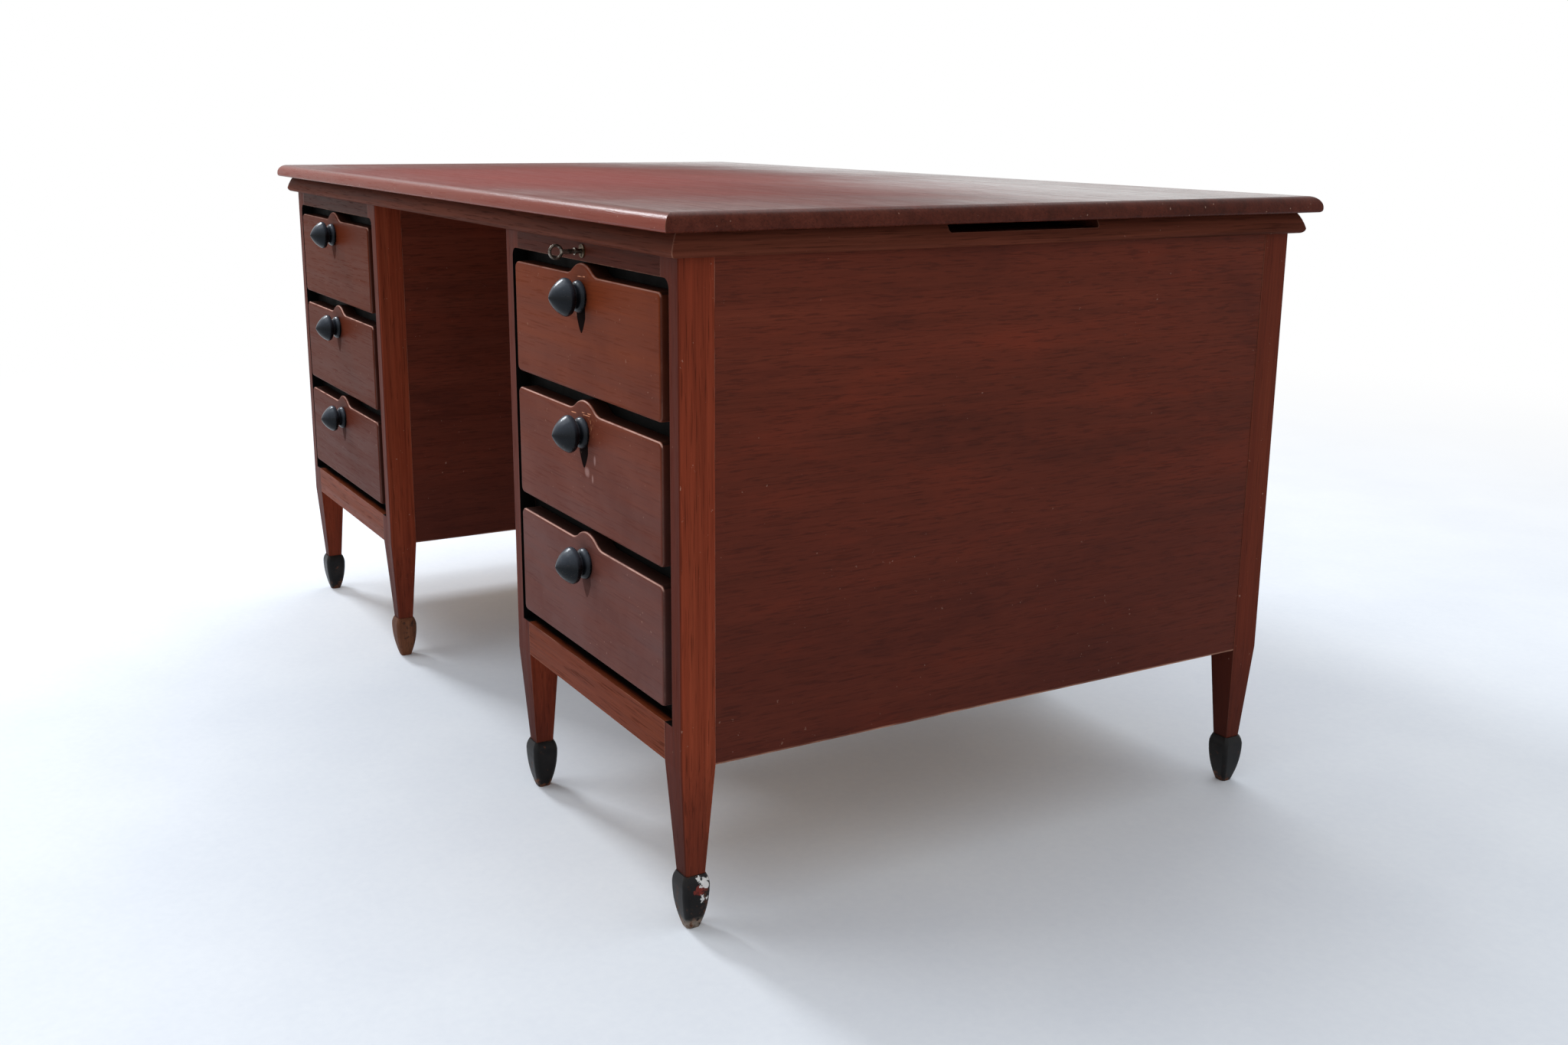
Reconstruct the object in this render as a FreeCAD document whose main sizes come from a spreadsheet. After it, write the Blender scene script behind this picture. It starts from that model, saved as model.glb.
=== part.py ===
import FreeCAD, Part
import math
import os
import re

import Sketcher

# Pedestal desk: two drawer pedestals on tapered legs carry a moulded frame and a top board.
# Millimetres. +X is the sitter's right, +Y the back, +Z up; the origin is on the floor under the middle.

LEVELS = ("bottom", "middle", "top")
PEDESTALS = {"left": -1, "right": 1}

# Driving sizes, one cell each
SIZES = {
    # Carcass: the block between the outer faces of the posts
    "carcass_width": 1490,
    "carcass_depth": 840,
    "carcass_top": 725,
    "carcass_bottom": 190,
    "kneehole_width": 554,
    "post_size": 40,
    "post_edge_radius": 3,
    "panel_thickness": 20,
    "panel_setback": 0.5,
    "back_thickness": 12,
    "back_setback": 2,
    "floor_thickness": 12,
    "modesty_thickness": 18,
    "modesty_height": 330,
    # Tapered legs and spade feet
    "ankle_size": 23,
    "foot_height": 64,
    "foot_shoulder_drop": 13,
    "foot_top_width": 26,
    "foot_width": 33,
    "foot_sole_width": 16,
    "foot_edge_radius": 5,
    # Top board
    "top_thickness": 19.5,
    "top_overhang": 27,
    "top_upper_radius": 14,
    "top_lower_radius": 4,
    # Moulded frame under the top
    "moulding_thickness": 25.5,
    "moulding_width": 70,
    "moulding_overhang": 14,
    "moulding_neck_overhang": 5,
    "moulding_edge_radius": 6,
    "moulding_face_radius": 60,
    "slot_length": 208,
    "slot_height": 10,
    "slot_corner_radius": 4,
    # Drawer opening of a pedestal
    "front_strip": 21.5,
    "top_rail_height": 22,
    "bottom_rail_height": 43,
    "opening_corner_radius": 11,
    "recess_depth": 20,
    "stile_width": 36.5,
    # Drawer fronts
    "drawer_side_gap": 13.5,
    "drawer_gap": 20,
    "drawer_gap_top": 15,
    "drawer_gap_bottom": 17,
    "drawer_proud": 3,
    "front_thickness": 22,
    "front_corner_radius": 8,
    "front_arris_radius": 4,
    "hump_width": 87,
    "hump_clearance": 2,
    # Drawer boxes and runners
    "box_length": 700,
    "box_height": 105,
    "box_rise": 12,
    "box_side_thickness": 12,
    "box_back_drop": 8,
    "box_side_clearance": 1,
    "box_headroom": 3,
    "bottom_thickness": 6,
    "groove_rise": 8,
    "groove_depth": 5,
    "groove_clearance": 0.1,
    "runner_thickness": 14,
    "runner_bearing": 14,
    "runner_clearance": 0.3,
    "guide_height": 24,
    # Knobs
    "knob_length": 38,
    "knob_radius": 22,
    "knob_drop": 23.5,
    "tenon_radius": 7,
    "tenon_length": 18,
    "tenon_clearance": 0.1,
    # Lock in the right top rail
    "lock_width": 44,
    "lock_depth": 16,
    "lock_height": 18,
    "lock_wall": 1.5,
    "lock_setback": 4,
    "bolt_width": 15,
    "bolt_thickness": 4,
    "bolt_height": 13,
    "bolt_throw": 8,
    "bolt_tip_recess": 0.6,
    "bolt_clearance": 0.4,
    # Key
    "key_rise": 11,
    "key_reach": 31,
    "shank_radius": 2.7,
    "bow_radius": 7,
    "bow_wire_radius": 1.7,
    "collar_radius": 4,
    "collar_length": 2.5,
    "collar_standoff": 7,
    "bit_length": 5.2,
    "bit_width": 3.6,
    "bit_thickness": 2.2,
    "keyhole_clearance": 0.3,
    "escutcheon_radius": 7.5,
    "escutcheon_thickness": 1.2,
    # How far a cutter runs past what it cuts
    "overrun": 5,
}

# Share of the overrun within which two places count as one
CLOSE_SHARE = 0.01
# Share of the hump's two radii that belongs to its crown
HUMP_CROWN_SHARE = 0.6
# Knob outline from the tip: shares of its length and radius, then that of the arc that leads on
KNOB_SHARES = (
    (0, 0, 1.75),
    (0.447, 0.93, 0.27),
    (0.632, 0.90, None),
    (0.695, 0.57, None),
    (0.768, 0.57, 0.35),
    (0.921, 0.82, 0.14),
    (0.984, 0.775, None),
    (1, 0.74, None),
)

# Places and sizes that follow from the driving ones
PLACES = {
    "front_y": "-(carcass_depth + top_overhang - drawer_proud - knob_length) / 2",
    "back_y": "front_y + carcass_depth",
    "middle_y": "front_y + carcass_depth / 2",
    "pedestal_width": "(carcass_width - kneehole_width) / 2",
    "shoulder_z": "foot_height - foot_shoulder_drop",
    "sole_inset": "(foot_width - foot_sole_width) / 2",
    "sole_radius": "(sole_inset^2 + shoulder_z^2) / (2 * sole_inset)",
    "shoulder_inset": "(foot_width - foot_top_width) / 2",
    "shoulder_radius": "(shoulder_inset^2 + foot_shoulder_drop^2) / (2 * shoulder_inset)",
    "opening_bottom": "carcass_bottom + bottom_rail_height",
    "opening_top": "carcass_top - top_rail_height",
    "opening_width": "pedestal_width - 2 * front_strip",
    "window_width": "opening_width - 2 * stile_width",
    "front_width": "opening_width - 2 * drawer_side_gap",
    "front_height": "(opening_top - opening_bottom - drawer_gap_top - drawer_gap_bottom"
                    f" - {len(LEVELS) - 1} * drawer_gap) / {len(LEVELS)}",
    "drawer_pitch": "front_height + drawer_gap",
    "hump_height": "min(drawer_gap_top; drawer_gap) - hump_clearance",
    "hump_half": "hump_width / 2",
    "hump_angle": "2 * atan(hump_height / hump_half)",
    "crown_radius": f"hump_half / sin(hump_angle) * {HUMP_CROWN_SHARE}",
    "flank_radius": "hump_half / sin(hump_angle) - crown_radius",
    "crown_half": "crown_radius * sin(hump_angle)",
    "crown_foot": "hump_height - crown_radius * (1 - cos(hump_angle))",
    "box_width": "window_width - 2 * box_side_clearance",
    "box_y": "front_y - drawer_proud + front_thickness",
    "inner_width": "box_width - 2 * box_side_thickness",
    "bottom_panel_width": "inner_width + 2 * (groove_depth - groove_clearance)",
    "groove_height": "bottom_thickness + groove_clearance",
    "runner_back": "back_y - post_size",
    "lock_x": "(kneehole_width + pedestal_width) / 2",
    "lock_y": "front_y + lock_setback",
    "key_z": "opening_top + key_rise",
    "bit_y": "lock_y + lock_wall + keyhole_clearance",
    "bolt_y": "bit_y + bit_width + bolt_clearance",
    "bolt_z": "opening_top + bolt_tip_recess",
    "strike_depth": "bolt_throw - bolt_tip_recess - hump_clearance + bolt_clearance",
    "keyhole_radius": "shank_radius + keyhole_clearance",
}

doc = FreeCAD.newDocument("pedestal_desk")
sizes = doc.addObject("Spreadsheet::Sheet", "Sizes")
places = doc.addObject("Spreadsheet::Sheet", "Places")
parts = {}


def bound(text):
    """Writes each plain name of an expression as the sheet cell that holds it."""
    def cell(found):
        name = found.group()
        sheet = "Sizes" if name in SIZES else "Places" if name in PLACES else None
        return f"{sheet}.{name}" if sheet else name
    return re.sub(r"[a-z]\w*", cell, text)


def fill_sheets():
    """Puts the driving sizes in one sheet and what follows from them in the other."""
    for row, (name, value) in enumerate(SIZES.items(), 1):
        sizes.set(f"A{row}", name)
        sizes.set(f"B{row}", str(value))
        sizes.setAlias(f"B{row}", name)
    doc.recompute()
    for row, (name, formula) in enumerate(PLACES.items(), 1):
        places.set(f"A{row}", name)
        places.set(f"B{row}", "=" + bound(formula).replace("Places.", ""))
        places.setAlias(f"B{row}", name)
    doc.recompute()


def number(text):
    """The value of an expression as it stands now."""
    value = sizes.evalExpression(bound(text))
    return float(getattr(value, "Value", value))


def bind(item, **texts):
    """Ties properties of an object to expressions."""
    for name, text in texts.items():
        item.setExpression(name, bound(text))


def place(item, x, y, z):
    """Ties an object's place to three expressions."""
    for axis, text in zip("xyz", (x, y, z)):
        item.setExpression(f"Placement.Base.{axis}", bound(text))


def keep(label, item):
    """Gives a finished sub-part its name."""
    item.Label = label
    parts[label] = item
    return item


# Primitives and booleans

def box(name, low, high):
    """A board between two corners, each of three expressions."""
    item = doc.addObject("Part::Box", name)
    for side, start, end in zip(("Length", "Width", "Height"), low, high):
        item.setExpression(side, bound(f"{end} - ({start})"))
    place(item, *low)
    return item


def rod(name, radius, start, length):
    """A round bar that runs back along Y from a point."""
    item = doc.addObject("Part::Cylinder", name)
    item.Placement.Rotation = FreeCAD.Rotation(FreeCAD.Vector(1, 0, 0), -90)
    bind(item, Radius=radius, Height=length)
    place(item, *start)
    return item


def cut(name, base, *tools):
    """One object less the others."""
    for count, tool in enumerate(tools, 1):
        item = doc.addObject("Part::Cut", name if count == len(tools) else f"{name}_less_{count}")
        item.Base = base
        item.Tool = tool
        base = item
    return base


def group(name, items):
    """Separate solids that make one sub-part."""
    item = doc.addObject("Part::Compound", name)
    item.Links = items
    return item


def span(face, out, near, far):
    """Low and high place of what lies between two depths behind a face that looks along out."""
    if out < 0:
        return f"{face} + {near}", f"{face} + {far}"
    return f"{face} - ({far})", f"{face} - ({near})"


# Sketched features

def body(name):
    return doc.addObject("PartDesign::Body", name)


def sketch_on(piece, name, role, lift="0"):
    """A sketch on one of a body's own planes, lifted along that plane's normal."""
    sketch = piece.newObject("Sketcher::SketchObject", name)
    plane = next(item for item in piece.Origin.OriginFeatures if item.Role == role)
    sketch.AttachmentSupport = [(plane, "")]
    sketch.MapMode = "FlatFace"
    sketch.setExpression("AttachmentOffset.Base.z", bound(lift))
    return sketch


def crown_point(begin, finish, radius, side):
    """Middle of the arc of a given radius that bulges left (1) or right (-1) of its run."""
    chord = finish - begin
    rise = radius - math.sqrt(radius ** 2 - (chord.Length / 2) ** 2)
    left = FreeCAD.Vector(-chord.y, chord.x, 0).normalize()
    return begin + chord / 2 + left * (side * rise)


def draw(sketch, corners):
    """Closes an outline through corners: (across, up), with (radius, side) added where an arc leads on."""
    points = [FreeCAD.Vector(number(corner[0]), number(corner[1]), 0) for corner in corners]
    runs = []
    for corner, begin, finish in zip(corners, points, points[1:] + points[:1]):
        if len(corner) == 2:
            run = Part.LineSegment(begin, finish)
        else:
            run = Part.Arc(begin, crown_point(begin, finish, number(corner[2]), corner[3]), finish)
        index = sketch.addGeometry(run, False)
        first = sketch.getPoint(index, 1)
        last = sketch.getPoint(index, 2)
        runs.append((index, 1 if first.distanceToPoint(begin) < last.distanceToPoint(begin) else 2))
    for corner, (index, start), (after, after_start) in zip(corners, runs, runs[1:] + runs[:1]):
        sketch.addConstraint(Sketcher.Constraint("Coincident", index, 3 - start, after, after_start))
        hold(sketch, "DistanceX", corner[0], -1, 1, index, start)
        hold(sketch, "DistanceY", corner[1], -1, 1, index, start)
        if len(corner) > 2:
            hold(sketch, "Radius", corner[2], index)


def draw_circle(sketch, across, up, radius):
    """A circle about a point of the sketch."""
    centre = FreeCAD.Vector(number(across), number(up), 0)
    index = sketch.addGeometry(Part.Circle(centre, FreeCAD.Vector(0, 0, 1), number(radius)), False)
    hold(sketch, "DistanceX", across, -1, 1, index, 3)
    hold(sketch, "DistanceY", up, -1, 1, index, 3)
    hold(sketch, "Radius", radius, index)


def hold(sketch, kind, text, *where):
    """A dimension of a sketch, tied to an expression."""
    index = sketch.addConstraint(Sketcher.Constraint(kind, *where, number(text)))
    sketch.setExpression(f"Constraints[{index}]", bound(text))


def draw_rectangle(sketch, left, low, right, high):
    draw(sketch, [(left, low), (right, low), (right, high), (left, high)])


def pad(piece, name, sketch, length, reverse=False, both_ways=False):
    item = piece.newObject("PartDesign::Pad", name)
    item.Profile = sketch
    item.Reversed = reverse
    if both_ways:
        item.SideType = "Symmetric"
    bind(item, Length=length)
    doc.recompute()
    return item


def pocket(piece, name, sketch, length=None, reverse=False, both_ways=False):
    """Cuts a sketch out of a body, right through where no length is given."""
    before = piece.Shape.Volume
    item = piece.newObject("PartDesign::Pocket", name)
    item.Profile = sketch
    item.Reversed = reverse
    if both_ways:
        item.SideType = "Symmetric"
    if length is None:
        item.Type = "ThroughAll"
    else:
        bind(item, Length=length)
    doc.recompute()
    if not piece.Shape.Volume < before:
        raise RuntimeError(f"{name} cuts nothing")
    return item


def round_edges(piece, name, base, edges, radius):
    """Rounds those edges of a feature that a test picks."""
    item = piece.newObject("PartDesign::Fillet", name)
    picked = [f"Edge{count}" for count, edge in enumerate(base.Shape.Edges, 1) if edges(edge)]
    item.Base = (base, picked)
    bind(item, Radius=radius)
    doc.recompute()
    return item


def near(one, other):
    """Whether two places are the same, within a small share of a cutter's overrun."""
    return abs(one - other) < number("overrun") * CLOSE_SHARE


# Top board and moulded frame

def top_board():
    piece = keep("top_board", body("top_board"))
    sketch = sketch_on(piece, "top_outline", "XY_Plane")
    half_width = "(carcass_width / 2 + top_overhang)"
    half_depth = "(carcass_depth / 2 + top_overhang)"
    draw_rectangle(sketch, f"-{half_width}", f"-{half_depth}", half_width, half_depth)
    slab = pad(piece, "top_slab", sketch, "top_thickness")
    high = number("top_thickness")
    upper = round_edges(piece, "top_upper_round", slab, lambda edge: near(edge.BoundBox.ZMin, high),
                        "top_upper_radius")
    round_edges(piece, "top_lower_round", upper, lambda edge: near(edge.BoundBox.ZMax, 0),
                "top_lower_radius")
    place(piece, "0", "middle_y", "carcass_top + moulding_thickness")


def moulding(label, run, turn, x, y, slotted=False):
    """One mitred member of the frame; its own +Y looks out of the desk."""
    piece = keep(label, body(label))
    half_run = f"({run} / 2 + moulding_overhang)"
    inner = "(moulding_overhang - moulding_width)"
    section = sketch_on(piece, f"{label}_section", "YZ_Plane")
    draw(section, [
        (inner, "0"),
        ("moulding_overhang - moulding_edge_radius", "0", "moulding_edge_radius", -1),
        ("moulding_overhang", "moulding_edge_radius", "moulding_face_radius", -1),
        ("moulding_neck_overhang", "moulding_thickness"),
        (inner, "moulding_thickness"),
    ])
    pad(piece, f"{label}_bar", section, f"2 * {half_run}", both_ways=True)
    mitres = sketch_on(piece, f"{label}_mitres", "XY_Plane")
    for end in (-1, 1):
        draw(mitres, [
            (f"{end} * ({half_run} + overrun)", "moulding_overhang + overrun"),
            (f"{end} * ({half_run} + overrun)", f"{inner} - overrun"),
            (f"{end} * ({half_run} - moulding_width - overrun)", f"{inner} - overrun"),
        ])
    pocket(piece, f"{label}_mitre_cut", mitres, "2 * (moulding_thickness + overrun)", both_ways=True)
    if slotted:
        slot = sketch_on(piece, f"{label}_slot", "XZ_Plane")
        half_slot = "slot_length / 2"
        slot_floor = "moulding_thickness - slot_height"
        draw(slot, [
            (f"-{half_slot}", "moulding_thickness + overrun"),
            (f"-{half_slot}", f"{slot_floor} + slot_corner_radius", "slot_corner_radius", -1),
            (f"-{half_slot} + slot_corner_radius", slot_floor),
            (f"{half_slot} - slot_corner_radius", slot_floor, "slot_corner_radius", -1),
            (half_slot, f"{slot_floor} + slot_corner_radius"),
            (half_slot, "moulding_thickness + overrun"),
        ])
        pocket(piece, f"{label}_slot_cut", slot, "2 * moulding_width", both_ways=True)
    piece.Placement.Rotation = FreeCAD.Rotation(FreeCAD.Vector(0, 0, 1), turn)
    place(piece, x, y, "carcass_top")


# Legs and feet

def leg(label, x, y, out_x, out_y, notched):
    """A post and the tapered leg under it; out_x and out_y point to its rounded outer corner.

    A notched one leaves room for the drawers, with a square seat for the stile behind its curved corner.
    """
    piece = keep(label, body(label))
    half = "post_size / 2"
    strip = f"({half} - front_strip)"
    outline = [
        (f"-{half}", "carcass_bottom"),
        (half, "carcass_bottom"),
        (half, "carcass_top"),
        (f"-{half}", "carcass_top"),
    ]
    if notched:
        outline += [
            (f"-{half}", "opening_top"),
            (f"{strip} - opening_corner_radius", "opening_top", "opening_corner_radius", out_x),
            (strip, "opening_top - opening_corner_radius"),
            (strip, "opening_bottom"),
            (f"-{half}", "opening_bottom"),
        ]
    front = sketch_on(piece, f"{label}_front", "XZ_Plane")
    draw(front, [(f"{out_x} * ({corner[0]})", *corner[1:]) for corner in outline])
    post = pad(piece, f"{label}_post", front, "post_size", both_ways=True)
    if notched:
        seat = sketch_on(piece, f"{label}_seat", "XZ_Plane", f"{half} - recess_depth")
        draw_rectangle(seat, f"{out_x} * ({strip} - opening_corner_radius)",
                       "opening_top - opening_corner_radius", f"{out_x} * {strip}", "opening_top")
        post = pocket(piece, f"{label}_seat_cut", seat)
    corner = [sign * number(half) for sign in (out_x, out_y)]

    def outer_arris(edge):
        middle = edge.CenterOfMass
        return near(middle.x, corner[0]) and near(middle.y, corner[1])

    round_edges(piece, f"{label}_arris", post, outer_arris, "post_edge_radius")
    taper(piece, label, out_x, out_y)
    place(piece, x, y, "0")


def taper(piece, label, out_x, out_y):
    """Narrows a post from the carcass down to its ankle, with the same rounded outer corner."""
    sections = []
    for end, size, level in (("top", "post_size", "carcass_bottom"), ("ankle", "ankle_size", "foot_height")):
        half = f"({size} / 2)"
        section = sketch_on(piece, f"{label}_{end}", "XY_Plane", level)
        draw(section, [
            (f"{-out_x} * {half}", f"{-out_y} * {half}"),
            (f"{out_x} * {half}", f"{-out_y} * {half}"),
            (f"{out_x} * {half}", f"{out_y} * ({half} - post_edge_radius)",
             "post_edge_radius", -out_x * out_y),
            (f"{out_x} * ({half} - post_edge_radius)", f"{out_y} * {half}"),
            (f"{-out_x} * {half}", f"{out_y} * {half}"),
        ])
        sections.append(section)
    narrowed = piece.newObject("PartDesign::AdditiveLoft", f"{label}_taper")
    narrowed.Profile = sections[0]
    narrowed.Sections = sections[1:]
    narrowed.Ruled = True
    doc.recompute()


def foot(name, x, y):
    """A square spade foot: a swelling shoulder under the ankle, then a long curve in to the sole."""
    piece = body(name)
    top = "foot_top_width / 2"
    wide = "foot_width / 2"
    sole = "foot_sole_width / 2"
    front = sketch_on(piece, f"{name}_front", "XZ_Plane")
    draw(front, [
        (sole, "0", "sole_radius", -1),
        (wide, "shoulder_z", "shoulder_radius", -1),
        (top, "foot_height"),
        (f"-{top}", "foot_height", "shoulder_radius", -1),
        (f"-{wide}", "shoulder_z", "sole_radius", -1),
        (f"-{sole}", "0"),
    ])
    pad(piece, f"{name}_block", front, "foot_width + overrun", both_ways=True)
    flanks = sketch_on(piece, f"{name}_flanks", "YZ_Plane")
    for face in (-1, 1):
        draw(flanks, [
            (f"{face} * {top}", "foot_height + overrun"),
            (f"{face} * {top}", "foot_height", "shoulder_radius", face),
            (f"{face} * {wide}", "shoulder_z", "sole_radius", face),
            (f"{face} * {sole}", "0"),
            (f"{face} * {sole}", "-overrun"),
            (f"{face} * ({wide} + overrun)", "-overrun"),
            (f"{face} * ({wide} + overrun)", "foot_height + overrun"),
        ])
    shaped = pocket(piece, f"{name}_shape", flanks, "foot_width + 2 * overrun", both_ways=True)
    flat = number("foot_sole_width") / 2

    def arris(edge):
        middle = edge.CenterOfMass
        return near(abs(middle.x), abs(middle.y)) and abs(middle.x) > flat

    round_edges(piece, f"{name}_arrises", shaped, arris, "foot_edge_radius")
    place(piece, x, y, "0")
    return piece


# Drawers

def front_floor(count):
    """Height of the lower edge of a drawer front; count is its place from the bottom."""
    return f"opening_bottom + drawer_gap_bottom + {count} * drawer_pitch"


def drawer_front(label, x, z, strike):
    """A drawer front with rounded corners, a hump over its knob and, with strike, the bolt's mortise."""
    piece = keep(label, body(label))
    half = "(front_width / 2)"
    turn = "front_corner_radius"
    face = sketch_on(piece, f"{label}_face", "XZ_Plane")
    draw(face, [
        (f"-{half} + {turn}", "0"),
        (f"{half} - {turn}", "0", turn, -1),
        (half, turn),
        (half, f"front_height - {turn}", turn, -1),
        (f"{half} - {turn}", "front_height"),
        ("hump_half", "front_height", "flank_radius", 1),
        ("crown_half", "front_height + crown_foot", "crown_radius", -1),
        ("-crown_half", "front_height + crown_foot", "flank_radius", 1),
        ("-hump_half", "front_height"),
        (f"-{half} + {turn}", "front_height", turn, -1),
        (f"-{half}", f"front_height - {turn}"),
        (f"-{half}", turn, turn, -1),
    ])
    board = pad(piece, f"{label}_board", face, "front_thickness", reverse=True)
    round_edges(piece, f"{label}_arris", board, lambda edge: near(edge.BoundBox.YMax, 0),
                "front_arris_radius")
    hole = sketch_on(piece, f"{label}_knob_hole", "XZ_Plane")
    draw_circle(hole, "0", "front_height - knob_drop", "tenon_radius + tenon_clearance")
    pocket(piece, f"{label}_knob_bore", hole, "2 * (front_thickness + overrun)", both_ways=True)
    groove = sketch_on(piece, f"{label}_groove", "XZ_Plane", "-front_thickness")
    draw_rectangle(groove, "-bottom_panel_width / 2 - groove_clearance", "box_rise + groove_rise",
                   "bottom_panel_width / 2 + groove_clearance", "box_rise + groove_rise + groove_height")
    pocket(piece, f"{label}_groove_cut", groove, "groove_depth", reverse=True)
    if strike:
        mortise = sketch_on(piece, f"{label}_strike", "XY_Plane", "front_height + hump_height")
        half_bolt = "(bolt_width / 2 + bolt_clearance)"
        bolt_front = "bolt_y - front_y + drawer_proud"
        draw_rectangle(mortise, f"-{half_bolt}", f"{bolt_front} - bolt_clearance",
                       half_bolt, f"{bolt_front} + bolt_thickness + bolt_clearance")
        pocket(piece, f"{label}_strike_cut", mortise, "strike_depth")
    place(piece, x, "front_y - drawer_proud", z)


def drawer_box(label, x, z):
    """The two grooved sides of a drawer and the back between them, which stands on the bottom board."""
    boards = []
    end_y = "box_y + box_length"
    groove_z = f"{z} + groove_rise"
    for hand, out in (("left", -1), ("right", 1)):
        face = f"{x} + {out} * box_width / 2"
        low_x, high_x = span(face, out, "0", "box_side_thickness")
        side = box(f"{label}_{hand}_board", (low_x, "box_y", z), (high_x, end_y, f"{z} + box_height"))
        low_x, high_x = span(face, out, "box_side_thickness - groove_depth", "box_side_thickness + overrun")
        slot = box(f"{label}_{hand}_groove", (low_x, "box_y - overrun", groove_z),
                   (high_x, f"{end_y} + overrun", f"{groove_z} + groove_height"))
        boards.append(cut(f"{label}_{hand}", side, slot))
    boards.append(box(f"{label}_back",
                      (f"{x} - inner_width / 2", f"{end_y} - box_side_thickness",
                       f"{groove_z} + bottom_thickness"),
                      (f"{x} + inner_width / 2", end_y, f"{z} + box_height - box_back_drop")))
    keep(label, group(label, boards))


def drawer_bottom(label, x, z):
    """The bottom board, in the grooves of the front and the sides."""
    half = "bottom_panel_width / 2"
    keep(label, box(label,
                    (f"{x} - {half}", "box_y - groove_depth + groove_clearance", f"{z} + groove_rise"),
                    (f"{x} + {half}", "box_y + box_length", f"{z} + groove_rise + bottom_thickness")))


def knob(label, x, z):
    """A turned knob: pointed head, narrow neck, beaded foot and a tenon into the drawer front."""
    piece = keep(label, body(label))
    outline = sketch_on(piece, f"{label}_outline", "YZ_Plane")
    corners = []
    for along_share, out_share, arc_share in KNOB_SHARES:
        corner = (f"knob_length * {along_share} - knob_length", f"knob_radius * {out_share}")
        corners.append(corner if arc_share is None else (*corner, f"knob_radius * {arc_share}", 1))
    corners += [("0", "tenon_radius"), ("tenon_length", "tenon_radius"), ("tenon_length", "0")]
    draw(outline, corners)
    turned = piece.newObject("PartDesign::Revolution", f"{label}_turned")
    turned.Profile = outline
    turned.ReferenceAxis = (outline, ["H_Axis"])
    turned.Angle = 360
    doc.recompute()
    place(piece, x, "front_y - drawer_proud", z)


def drawer(side, count, centre_x):
    """All pieces of one drawer."""
    name = f"{side}_{LEVELS[count]}"
    front_z = front_floor(count)
    box_z = f"{front_z} + box_rise"
    strike = side == "right" and count == len(LEVELS) - 1
    drawer_front(f"drawer_front_{name}", centre_x, front_z, strike)
    drawer_box(f"drawer_box_{name}", centre_x, box_z)
    drawer_bottom(f"drawer_bottom_{name}", centre_x, box_z)
    knob(f"knob_{name}", centre_x, f"{front_z} + front_height - knob_drop")


# Pedestals

def face_frame(label, left_x):
    """The black frame behind the drawer fronts: two stiles, and rails above and below each window."""
    low_y = "front_y + recess_depth"
    high_y = "front_y + post_size"
    outer = [f"{left_x} + front_strip", f"{left_x} + pedestal_width - front_strip"]
    inner = [f"{outer[0]} + stile_width", f"{outer[1]} - stile_width"]
    pieces = [
        box(f"{label}_stile_{hand}", (low, low_y, "opening_bottom"), (high, high_y, "opening_top"))
        for hand, low, high in (("left", outer[0], inner[0]), ("right", inner[1], outer[1]))
    ]
    rail_low = "opening_bottom"
    for count, level in enumerate(LEVELS):
        box_z = f"{front_floor(count)} + box_rise"
        pieces.append(box(f"{label}_rail_{level}", (inner[0], low_y, rail_low),
                          (inner[1], high_y, f"{box_z} - runner_clearance")))
        rail_low = f"{box_z} + box_height + box_headroom"
    pieces.append(box(f"{label}_rail_head", (inner[0], low_y, rail_low), (inner[1], high_y, "opening_top")))
    keep(label, group(label, pieces))


def runners(label, left_x):
    """For each drawer a bearer under each side, and a guide on it beside the drawer."""
    low_y = "front_y + post_size"
    pieces = []
    for count, level in enumerate(LEVELS):
        top_z = f"{front_floor(count)} + box_rise - runner_clearance"
        for out in (-1, 1):
            name = f"{label}_{level}_{'left' if out < 0 else 'right'}"
            face = left_x if out < 0 else f"{left_x} + pedestal_width"
            wall = "panel_setback + panel_thickness"
            window = "(pedestal_width - window_width) / 2"
            low_x, high_x = span(face, out, wall, f"{window} + runner_bearing")
            pieces.append(box(f"{name}_bearer", (low_x, low_y, f"{top_z} - runner_thickness"),
                              (high_x, "runner_back", top_z)))
            low_x, high_x = span(face, out, wall, window)
            pieces.append(box(f"{name}_guide", (low_x, low_y, top_z),
                              (high_x, "runner_back", f"{top_z} + guide_height")))
    keep(label, group(label, pieces))


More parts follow.
